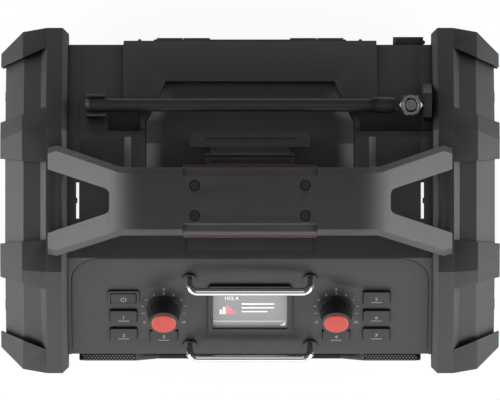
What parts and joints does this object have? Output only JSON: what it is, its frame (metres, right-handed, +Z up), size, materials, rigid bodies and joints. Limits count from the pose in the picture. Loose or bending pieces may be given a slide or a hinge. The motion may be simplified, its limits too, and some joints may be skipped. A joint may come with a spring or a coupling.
{
  "type": "jobsite radio",
  "caption": "Rugged portable radio: sloping control panel with knobs, keys and screen, octagonal end guards, arched carrying handle, folding antenna and rear battery lid.",
  "frame": {"origin": "centre of the footprint on the floor plane under the four rubber feet", "axes": "+X along the length towards the antenna pivot, +Y to the rear, +Z up"},
  "size_m": [0.37, 0.2568, 0.28],
  "materials": {
    "charcoal_plastic": "moulded, fine spark-eroded texture, satin",
    "guard_rubber": "overmoulded rubber, matt",
    "handle_plastic": "moulded, satin",
    "black_plastic": "moulded, matt black",
    "key_rubber": "silicone key, satin",
    "red_plastic": "moulded, satin red",
    "red_rubber": "soft red grip, matt",
    "chrome": "polished",
    "screw_steel": "blackened steel",
    "glass": "clear, glossy",
    "smoked": "smoked, glossy",
    "display": "lit screen",
    "grille_steel": "perforated sheet, powder coated",
    "speaker_cone": "coated cone",
    "board": "circuit board",
    "brass": "contact"
  },
  "bodies": {
    "radio": {"antenna_bracket": "black_plastic", "antenna_clip": "black_plastic", "bar_collars": "black_plastic", "battery_contacts": "brass", "battery_pack": "black_plastic", "battery_tray": "black_plastic", "control_board": "board", "control_panel": "charcoal_plastic", "display_bezel": "black_plastic", "display_lens": "glass", "display_module": "display", "encoders": "black_plastic", "front_centre_panel": "charcoal_plastic", "front_shell": "charcoal_plastic", "grip_cover": "handle_plastic", "grip_insert": "red_rubber", "grip_screws": "screw_steel", "guard_screws": "screw_steel", "handle_bolts": "screw_steel", "handle_frame": "handle_plastic", "hinge_pins": "screw_steel", "latch_base": "black_plastic", "left_end_guard": "charcoal_plastic", "left_end_plate": "charcoal_plastic", "left_guard_pads": "guard_rubber", "left_speaker_grille": "grille_steel", "lower_guard_bar": "chrome", "main_board": "board", "power_key_frame": "black_plastic", "power_module": "black_plastic", "rear_shell": "charcoal_plastic", "right_end_guard": "charcoal_plastic", "right_end_plate": "charcoal_plastic", "right_guard_pads": "guard_rubber", "right_speaker_grille": "grille_steel", "rubber_feet": "guard_rubber", "speaker_drivers": "speaker_cone", "status_window": "smoked", "upper_guard_bar": "chrome"},
    "power_key": {"power_key": "key_rubber"},
    "left_middle_key": {"left_middle_key": "key_rubber"},
    "left_lower_key": {"left_lower_key": "key_rubber"},
    "left_knob_key": {"left_knob_key": "key_rubber"},
    "right_knob_key": {"right_knob_key": "key_rubber"},
    "right_upper_key": {"right_upper_key": "key_rubber"},
    "right_middle_key": {"right_middle_key": "key_rubber"},
    "right_lower_key": {"right_lower_key": "key_rubber"},
    "left_knob": {"left_knob": "black_plastic", "left_knob_cap": "red_plastic", "left_knob_shaft": "screw_steel"},
    "right_knob": {"right_knob": "black_plastic", "right_knob_cap": "red_plastic", "right_knob_shaft": "screw_steel"},
    "latch": {"latch": "charcoal_plastic"},
    "battery_cover": {"battery_cover": "charcoal_plastic"},
    "antenna_swivel": {"antenna_swivel": "black_plastic", "antenna_bolt": "screw_steel"},
    "antenna_mast": {"antenna_mast": "black_plastic", "antenna_tip": "black_plastic"},
    "socket_cap": {"socket_cap": "guard_rubber"}
  },
  "joints": [
    {"name": "left_knob_turn", "type": "hinge", "parent": "radio", "child": "left_knob", "pos_m": [-0.0639, -0.08017, 0.17133], "axis": [0, -0.7071, 0.7071], "continuous": true},
    {"name": "right_knob_turn", "type": "hinge", "parent": "radio", "child": "right_knob", "pos_m": [0.0639, -0.08017, 0.17133], "axis": [0, -0.7071, 0.7071], "continuous": true},
    {"name": "power_key_press", "type": "slide", "parent": "radio", "child": "power_key", "axis": [0, 0.7071, -0.7071], "range_m": [0, 0.001], "stiffness_N_per_m": 600},
    {"name": "left_middle_key_press", "type": "slide", "parent": "radio", "child": "left_middle_key", "axis": [0, 0.7071, -0.7071], "range_m": [0, 0.001], "stiffness_N_per_m": 600},
    {"name": "left_lower_key_press", "type": "slide", "parent": "radio", "child": "left_lower_key", "axis": [0, 0.7071, -0.7071], "range_m": [0, 0.001], "stiffness_N_per_m": 600},
    {"name": "left_knob_key_press", "type": "slide", "parent": "radio", "child": "left_knob_key", "axis": [0, 0.7071, -0.7071], "range_m": [0, 0.001], "stiffness_N_per_m": 600},
    {"name": "right_knob_key_press", "type": "slide", "parent": "radio", "child": "right_knob_key", "axis": [0, 0.7071, -0.7071], "range_m": [0, 0.001], "stiffness_N_per_m": 600},
    {"name": "right_upper_key_press", "type": "slide", "parent": "radio", "child": "right_upper_key", "axis": [0, 0.7071, -0.7071], "range_m": [0, 0.001], "stiffness_N_per_m": 600},
    {"name": "right_middle_key_press", "type": "slide", "parent": "radio", "child": "right_middle_key", "axis": [0, 0.7071, -0.7071], "range_m": [0, 0.001], "stiffness_N_per_m": 600},
    {"name": "right_lower_key_press", "type": "slide", "parent": "radio", "child": "right_lower_key", "axis": [0, 0.7071, -0.7071], "range_m": [0, 0.001], "stiffness_N_per_m": 600},
    {"name": "latch_lift", "type": "hinge", "parent": "radio", "child": "latch", "pos_m": [0, 0.0352, 0.2042], "axis": [1, 0, 0], "range_deg": [0, 80]},
    {"name": "battery_cover_open", "type": "hinge", "parent": "radio", "child": "battery_cover", "pos_m": [0, 0.1192, 0.031], "axis": [-1, 0, 0], "range_deg": [0, 95]},
    {"name": "antenna_swivel_turn", "type": "hinge", "parent": "radio", "child": "antenna_swivel", "pos_m": [0.1191, 0.0707, 0.1965], "axis": [1, 0, 0], "range_deg": [0, 90]},
    {"name": "antenna_lift", "type": "hinge", "parent": "antenna_swivel", "child": "antenna_mast", "pos_m": [0.1191, 0.0707, 0.1965], "axis": [0, 0, -1], "range_deg": [0, 90], "deforming": ["antenna_clip"]},
    {"name": "socket_cap_open", "type": "hinge", "parent": "radio", "child": "socket_cap", "pos_m": [0.1288, 0.1176, 0.12], "axis": [0, 0, -1], "range_deg": [0, 90], "stiffness_Nm_per_rad": 0.02}
  ]
}
